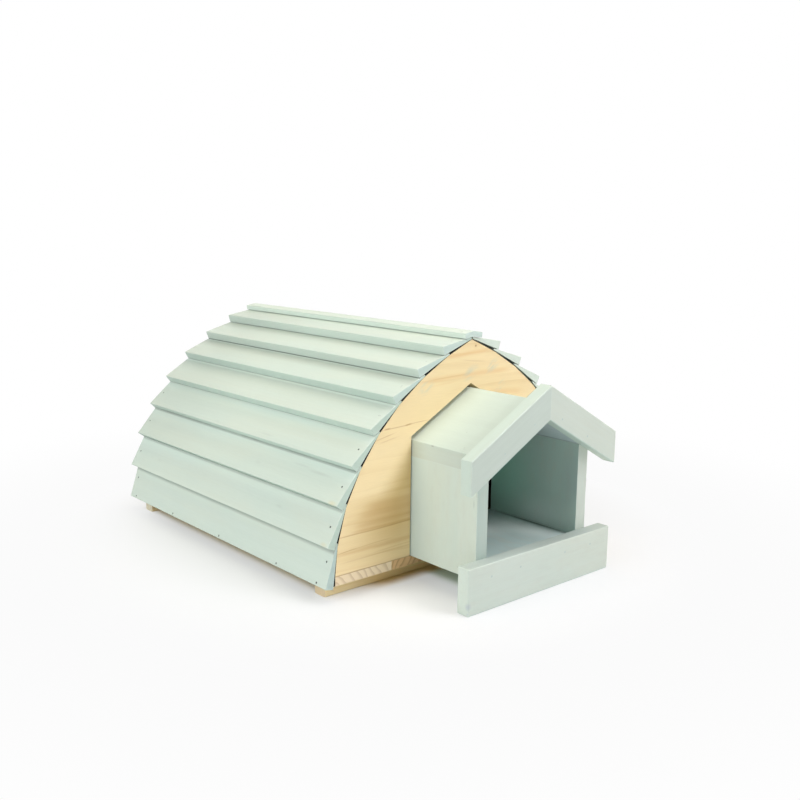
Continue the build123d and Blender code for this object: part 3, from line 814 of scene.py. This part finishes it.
def board_coats():
    """The coats of the cladding boards and the two caps on them, with painted light and shade by
    row.
    """
    coats = {}
    for side in SIDES:
        cap = f"ridge_cap_{side}"
        # Painted light: the caps and their lower edges are drawn lighter
        coats[cap] = Coat(
            ALONG_Y,
            under=SAGE_CAP_EDGE_LIGHT,
            shade=1.1,
            lap_shadow_strength=0.8,
            lap=outer_plane(f"board_{side}_1", side),
        )
        for row, board in BOARD_ROWS.items():
            above = cap if row == 1 else f"board_{side}_{row - 1}"
            coats[f"board_{side}_{row}"] = Coat(
                ALONG_Y,
                under=board.edge,
                end=SAGE_RIGHT_END if side == "right" else board.end,
                shade=board.shade,
                lap_shadow_strength=board.lap_shadow_strength,
                lap=outer_plane(f"board_{side}_{row + 1}", side) if row < LAST_ROW else None,
                lap_shadow_width=board.lap_shadow_width,
                shade_from=inner_arris(above),
                shades=board.shades,
                shade_falloffs=((*REAR_SHADE, board.rear),),
            )
    return coats


def tunnel_coats():
    """The coats of the tunnel's boards, with painted shade and painted light on their inner faces,
    fronts, tops and sill.
    """
    return {
        "tunnel_roof_left": Coat(
            ALONG_Y,
            faces=((UNDER_LEFT_ROOF, SAGE_INSIDE_ROOF_SHADE), (-UNDER_LEFT_ROOF, SAGE_ROOF_TOP_LIT)),
            shade_falloffs=ROOF_SHADES,
        ),
        "tunnel_roof_right": Coat(ALONG_Y, faces=((UNDER_RIGHT_ROOF, SAGE_INSIDE_ROOF_SHADE),)),
        "tunnel_wall_left": Coat(
            ALONG_Z, faces=((ALONG_X, SAGE_INSIDE_SHADE), (-ALONG_Y, SAGE_FRONT_SHADE)), brush=0.5, mottle=0.2
        ),
        "tunnel_wall_right": Coat(ALONG_Z, faces=((-ALONG_X, SAGE_INSIDE_SHADE),), brush=0.5, mottle=0.2),
        "tunnel_floor": Coat(ALONG_Y, faces=((ALONG_Z, SAGE_INSIDE_FLOOR_SHADE),), mottle=0.3),
        "bargeboard_left": Coat(
            UP_TO_RIGHT,
            faces=((-ALONG_Y, SAGE_BARGE_FRONT_SHADE), (-UNDER_LEFT_ROOF, SAGE_BARGE_TOP_LIT)),
            end=SAGE_BARGE_END,
        ),
        "bargeboard_right": Coat(DOWN_TO_RIGHT, end=SAGE),
        "threshold_board": Coat(
            ALONG_X, faces=((-ALONG_X, SAGE), (ALONG_Z, SAGE_SILL_SHADE)), shade=1.04, mottle=0.2
        ),
    }


FLOOR_BOARD_COUNT = 5
# Where the pith lies about which the growth rings turn, in metres: under the floor boards and
# this many of their widths to one side, outside the gables and over their feet, and in front
# of the battens and under them
FLOOR_PITH_WIDTHS = 0.9
FLOOR_PITH_DEPTH = 0.04
GABLE_PITH_DEPTH = 0.06
FRONT_GABLE_PITH_HEIGHT = 0.15
REAR_GABLE_PITH_HEIGHT = 0.1
BATTEN_PITH_FRONT = 0.03
BATTEN_PITH_DEPTH = 0.02


def dress_paint():
    """Sage paint on the boards, caps and tunnel, each brushed along its own length."""
    coats = {**board_coats(), **tunnel_coats()}
    for number, (node, coat) in enumerate(coats.items()):
        dress(node, paint("paint_" + node, PAINT_SEED + number, coat, node))


def dress_floor_boards():
    """Bare pine with its rings turning now to one side and now to the other, and painted shade on
    the tops in the chamber.
    """
    for number in range(1, FLOOR_BOARD_COUNT + 1):
        name = f"floor_board_{number}"
        low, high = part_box(name)
        lean = -1 if number % 2 else 1
        across = (low.x + high.x) / 2 + lean * (high.x - low.x) * FLOOR_PITH_WIDTHS
        pith = (across, 0, low.z - FLOOR_PITH_DEPTH)
        tones = FLOOR_TONES.get(number, PINE_TONES)
        seed = FLOOR_SEED + number
        dress(name, pine("pine_" + name, seed, ALONG_Y, pith, BOARD_RING, tones, shaded_side=ALONG_Z))


def dress_gables():
    """Bare pine on both gables, with painted shade on the rear one's face in the chamber."""
    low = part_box("front_gable")[0]
    pith = (0, low.y - GABLE_PITH_DEPTH, low.z + FRONT_GABLE_PITH_HEIGHT)
    dress("front_gable", gable_pine(FRONT_GABLE_SEED, pith, BOARD_RING, low.y))
    low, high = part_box("rear_gable")
    pith = (0, high.y + GABLE_PITH_DEPTH, low.z + REAR_GABLE_PITH_HEIGHT)
    rear = pine("pine_rear_gable", REAR_GABLE_SEED, ALONG_X, pith, BOARD_RING, shaded_side=-ALONG_Y)
    dress("rear_gable", rear)


def dress_battens():
    """Bare pine on the battens, the front one with darker, warmer painted shade towards the tunnel.
    """
    for number, (name, tones) in enumerate(BATTEN_TONES.items()):
        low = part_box(name)[0]
        pith = (0, low.y - BATTEN_PITH_FRONT, low.z - BATTEN_PITH_DEPTH)
        shaded = name == "front_batten"
        seed = BATTEN_SEED + number
        dress(name, pine("pine_" + name, seed, ALONG_X, pith, BATTEN_RING, tones, shaded_middle=shaded))


def dress_dark():
    """Black membrane, and dark steel on the brads and screws."""
    dress("membrane", membrane())
    dark = steel()
    for name in NODES:
        if name.endswith(("brads", "screws")):
            dress(name, dark)


# The plugs of paint over the brads of the upper rows, the caps and the tunnel
PLUG_RADIUS = 1.2 * MM
PLUG_DEPTH = 0.29 * MM
PLUG_SIDES = 20
# A plug's profile from its rim to its middle, as shares of its radius and of its depth
PLUG_PROFILE_SHARES = ((1.0, 0.05), (1.0, 0.9), (0.93, 1.0), (0.7, 0.95), (0.35, 0.85))
# The height over which the boards' brads are painted over, in metres
PAINTED_ROWS_LEVEL = 0.18
FILLER_SHADE = 0.88
# Points this near each other are one, and those this near a brad's end belong to its end
# face, in metres
MERGE_DISTANCE = 1e-6
END_SLICE = MM / 4


def brads_of(node):
    """Each brad of a node, as the list of its points."""
    mesh = bmesh.new()
    mesh.from_mesh(NODES[node].data)
    bmesh.ops.remove_doubles(mesh, verts=mesh.verts, dist=MERGE_DISTANCE)
    seen = set()
    brads = []
    for first in mesh.verts:
        if first in seen:
            continue
        seen.add(first)
        island = [first]
        for vertex in island:
            for edge in vertex.link_edges:
                other = edge.other_vert(vertex)
                if other not in seen:
                    seen.add(other)
                    island.append(other)
        brads.append([vertex.co.copy() for vertex in island])
    mesh.free()
    return brads


def head_of(points):
    """The middle of a brad's head face, and the direction in which it looks."""
    middle = sum(points, Vector()) / len(points)
    one_end = max(points, key=lambda point: (point - middle).length)
    other_end = max(points, key=lambda point: (point - one_end).length)
    axis = (other_end - one_end).normalized()
    reaches = [point.dot(axis) for point in points]
    far = [p for p, reach in zip(points, reaches) if reach > max(reaches) - END_SLICE]
    near = [p for p, reach in zip(points, reaches) if reach < min(reaches) + END_SLICE]
    far_middle, near_middle = (sum(group, Vector()) / len(group) for group in (far, near))
    if (far[0] - far_middle).length > (near[0] - near_middle).length:
        head, foot = far_middle, near_middle
    else:
        head, foot = near_middle, far_middle
    return head, (head - foot).normalized()


def add_plug(mesh, head, axis):
    """One small round plug of paint, a little hollow in its middle."""
    place = Matrix.Translation(head) @ axis.to_track_quat("Z", "X").to_matrix().to_4x4()
    rings = []
    for radius_share, depth_share in PLUG_PROFILE_SHARES:
        reach = PLUG_RADIUS * radius_share
        ring = []
        for step in range(PLUG_SIDES):
            angle = math.tau * step / PLUG_SIDES
            point = (reach * math.cos(angle), reach * math.sin(angle), PLUG_DEPTH * depth_share)
            ring.append(mesh.verts.new(place @ Vector(point)))
        rings.append(ring)
    mesh.faces.new(reversed(rings[0]))
    for lower, upper in zip(rings, rings[1:]):
        for step in range(PLUG_SIDES):
            following = (step + 1) % PLUG_SIDES
            mesh.faces.new((lower[step], lower[following], upper[following], upper[step]))
    mesh.faces.new(rings[-1])


def add_plugs(name, body, node, material, lowest=0):
    """Plugs of paint on the heads of a node's brads, apart from those under a level."""
    mesh = bmesh.new()
    for points in brads_of(node):
        head, axis = head_of(points)
        if head.z >= lowest:
            add_plug(mesh, head, axis)
    data = bpy.data.meshes.new(name)
    mesh.to_mesh(data)
    mesh.free()
    data.materials.append(material)
    plugs = bpy.data.objects.new(name, data)
    bpy.context.scene.collection.objects.link(plugs)
    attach(plugs, body)


def cover_brads():
    """Plugs of one paint on the brads of the upper rows, the caps and the tunnel."""
    filler = paint("paint_filler", FILLER_SEED, Coat(ALONG_Y, worn_highlight=0, shade=FILLER_SHADE))
    add_plugs("paint_on_boards_brads", "house", "cladding_brads", filler, PAINTED_ROWS_LEVEL)
    add_plugs("paint_on_cap_brads", "house", "cap_brads", filler)
    add_plugs("paint_on_tunnel_brads", "tunnel", "tunnel_brads", filler)


# The camera: its place and its three directions, with the lens and sensor in millimetres
CAMERA_PLACE = Vector((-0.77070, -0.92670, 0.39256))
CAMERA_RIGHT = Vector((0.75420678, -0.65653551, 0.01154382))
CAMERA_DOWN = Vector((-0.11017418, -0.14385641, -0.98344648))
CAMERA_FORWARD = Vector((0.64732819, 0.74045017, -0.18083075))
SENSOR = 36
LENS = 42.997
CLIP_START = 0.05
CLIP_END = 40


def add_camera():
    data = bpy.data.cameras.new("camera")
    data.lens = LENS
    data.sensor_width = SENSOR
    data.clip_start = CLIP_START
    data.clip_end = CLIP_END
    camera = bpy.data.objects.new("camera", data)
    turn = Matrix((CAMERA_RIGHT, -CAMERA_DOWN, -CAMERA_FORWARD)).transposed()
    camera.matrix_world = Matrix.Translation(CAMERA_PLACE) @ turn.to_4x4()
    bpy.context.scene.collection.objects.link(camera)
    bpy.context.scene.camera = camera


# The floor, from the middle to each side in metres, and its tones: white outside the house;
# under it a painted warm bounce, along the front batten painted shade with warm bounce, and
# under the tunnel painted shade
FLOOR_REACH = 12
FLOOR_WHITE = tone(239, 241, 244)
FLOOR_UNDER_HOUSE_BOUNCE = tone(239, 235, 221)
FLOOR_BATTEN_SHADE = tone(238, 215, 166)
FLOOR_TUNNEL_SHADE = tone(228, 240, 224)
# The share of its glow near the object, and along the house's sides, between these distances
# from the edge of the boards
FLOOR_GLOW = 0.33
FLOOR_SIDE_GLOW = 0.42
FLOOR_SIDE = (-0.026, -0.008)
# The glow is gone under the house, and grows between these distances from its sides and rear,
# and these from its front
FLOOR_UNDER = (-0.026, -0.010)
FLOOR_UNDER_FRONT = (-0.017, 0.005)
# It is gone under the tunnel, and grows between these distances from the tunnel's wall, and
# these from the house's front
FLOOR_UNDER_TUNNEL = (-0.041, -0.021)
FLOOR_TUNNEL_END = (0.085, 0.105)
# Painted shade with a warm bounce on the floor along the front batten, between these distances
# from the house's front and from its middle
FLOOR_BATTEN_REACH = (0.005, -0.012)
FLOOR_BATTEN_SPAN = (0.165, 0.100)
# Past that span, the glow reaches this much further in under the house's front
FLOOR_FRONT_SHIFT = 0.014
# Away from the origin the glow's share grows to 1 between these distances, and its strength
# from this level to 1 between the second one and twice that
FLOOR_NEAR = 0.24
FLOOR_FAR = 0.42
FLOOR_GLOW_LEVEL = 0.965

# How strongly the surround lights the object
SKY_STRENGTH = 0.25

# The lamps are discs, all aimed at one place, with their places and sizes in metres
LAMP_TARGET = Vector((0, -0.05, 0.1))
Lamp = namedtuple("Lamp", "name place size watts colour")
LAMPS = (
    Lamp("overhead", (0, -0.05, 2.4), 1.6, 17.4, (1.0, 0.93, 0.66)),
    Lamp("left", (-2.3, 0, 1.2), 1.6, 32.8, (0.93, 0.97, 0.98)),
    Lamp("front_right", (0.8, -2, 1.6), 1.2, 21.5, (1.0, 0.96, 0.98)),
    Lamp("near_front", (0.3, -0.7, 1.1), 0.8, 4.6, (0.97, 0.93, 1.0)),
    Lamp("rear", (0.5, 2.2, 0.45), 1.2, 9, (1.0, 1.0, 1.0)),
)


def seen_directly(tree):
    """1 for rays that reach the backdrop from the camera, or off or through glossy pieces."""
    rays = tree.nodes.new("ShaderNodeLightPath")
    either = tree.nodes.new("ShaderNodeMath")
    either.operation = "MAXIMUM"
    tree.links.new(rays.outputs["Is Camera Ray"], either.inputs[0])
    tree.links.new(rays.outputs["Is Glossy Ray"], either.inputs[1])
    any_of_three = tree.nodes.new("ShaderNodeMath")
    any_of_three.operation = "MAXIMUM"
    tree.links.new(either.outputs[0], any_of_three.inputs[0])
    tree.links.new(rays.outputs["Is Transmission Ray"], any_of_three.inputs[1])
    return any_of_three.outputs[0]


# A place on the floor: how far it is past the house's sides, and how much, from 0 to 1, it is
# outside the house, clear of the tunnel, and in the painted shade along the front batten
Zones = namedtuple("Zones", "side outside clear by_batten")


def floor_zones(look):
    """The zones, worked out from the places of the house's and the tunnel's pieces."""
    axes = look.axes()
    width = look.sum("ABSOLUTE", axes["X"])
    side = look.sum("SUBTRACT", width, cad_high.x)
    front = look.sum("SUBTRACT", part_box("front_gable")[0].y, axes["Y"])
    rear = look.sum("SUBTRACT", axes["Y"], cad_high.y)
    beyond = look.rise(look.sum("MAXIMUM", side, rear), *FLOOR_UNDER)
    by_middle = look.rise(width, *FLOOR_BATTEN_SPAN)
    shift = look.rise(by_middle, 0, 1, FLOOR_FRONT_SHIFT, 0)
    before = look.rise(look.sum("ADD", front, shift), *FLOOR_UNDER_FRONT)
    outside = look.sum("MAXIMUM", beyond, before)
    by_wall = look.sum("SUBTRACT", width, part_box("tunnel_wall_right")[1].x)
    past_wall = look.rise(by_wall, *FLOOR_UNDER_TUNNEL)
    past_end = look.rise(front, *FLOOR_TUNNEL_END)
    clear = look.sum("MAXIMUM", look.sum("MAXIMUM", past_wall, past_end), beyond)
    by_batten = look.product(look.rise(front, *FLOOR_BATTEN_REACH), by_middle)
    return Zones(side, outside, clear, by_batten)


def floor_white():
    """White that glows a little to the camera, so that only faint shadows show on it, with painted
    shade and warm bounce under the house, along the front batten and under the tunnel.
    """
    look = Look("floor_white")
    look.shader.inputs["Specular IOR Level"].default_value = 0
    zones = floor_zones(look)
    colour = look.mix(zones.outside, FLOOR_UNDER_HOUSE_BOUNCE, FLOOR_WHITE)
    colour = look.mix(zones.clear, FLOOR_TUNNEL_SHADE, colour)
    look.finish(look.mix(zones.by_batten, colour, FLOOR_BATTEN_SHADE), 1)
    distance = look.length(look.place)
    nearest = look.rise(zones.side, *FLOOR_SIDE, FLOOR_GLOW, FLOOR_SIDE_GLOW)
    spread = look.rise(distance, FLOOR_NEAR, FLOOR_FAR, nearest, 1)
    glow = look.nodes.new("ShaderNodeEmission")
    strength = look.rise(distance, FLOOR_FAR, 2 * FLOOR_FAR, FLOOR_GLOW_LEVEL, 1)
    look.feed(glow.inputs["Strength"], strength)
    seen = seen_directly(look.material.node_tree)
    blend = look.nodes.new("ShaderNodeMixShader")
    look.feed(blend.inputs[0], look.product(seen, spread, zones.outside, zones.clear))
    look.feed(blend.inputs[1], look.shader.outputs[0])
    look.feed(blend.inputs[2], glow.outputs[0])
    look.feed(look.nodes["Material Output"].inputs[0], blend.outputs[0])
    return look.material


def add_floor():
    reach = FLOOR_REACH
    corners = [(-reach, -reach, 0), (reach, -reach, 0), (reach, reach, 0), (-reach, reach, 0)]
    data = bpy.data.meshes.new("floor")
    data.from_pydata(corners, [], [(0, 1, 2, 3)])
    data.materials.append(floor_white())
    floor = bpy.data.objects.new("floor", data)
    bpy.context.scene.collection.objects.link(floor)


def add_sky():
    """A plain white surround, as bright as written to the camera and dimmer as light."""
    world = bpy.data.worlds.new("world")
    bpy.context.scene.world = world
    world.use_nodes = True
    tree = world.node_tree
    light = tree.nodes["Background"]
    light.inputs["Color"].default_value = (1, 1, 1, 1)
    light.inputs["Strength"].default_value = SKY_STRENGTH
    backdrop = tree.nodes.new("ShaderNodeBackground")
    backdrop.inputs["Color"].default_value = (1, 1, 1, 1)
    backdrop.inputs["Strength"].default_value = 1
    blend = tree.nodes.new("ShaderNodeMixShader")
    tree.links.new(seen_directly(tree), blend.inputs[0])
    tree.links.new(light.outputs[0], blend.inputs[1])
    tree.links.new(backdrop.outputs[0], blend.inputs[2])
    tree.links.new(blend.outputs[0], tree.nodes["World Output"].inputs[0])


def add_lamps():
    """Large soft lamps overhead, on the left, at the front right, near the front and behind."""
    for lamp in LAMPS:
        data = bpy.data.lights.new(lamp.name, "AREA")
        data.shape = "DISK"
        data.size = lamp.size
        data.energy = lamp.watts
        data.color = lamp.colour
        light = bpy.data.objects.new(lamp.name, data)
        light.location = lamp.place
        aim = LAMP_TARGET - Vector(lamp.place)
        light.rotation_euler = aim.to_track_quat("-Z", "Y").to_euler()
        bpy.context.scene.collection.objects.link(light)


dress_paint()
dress_floor_boards()
dress_gables()
dress_battens()
dress_dark()
cover_brads()
add_floor()
add_sky()
add_lamps()
add_camera()
bpy.context.scene.view_settings.view_transform = "Standard"
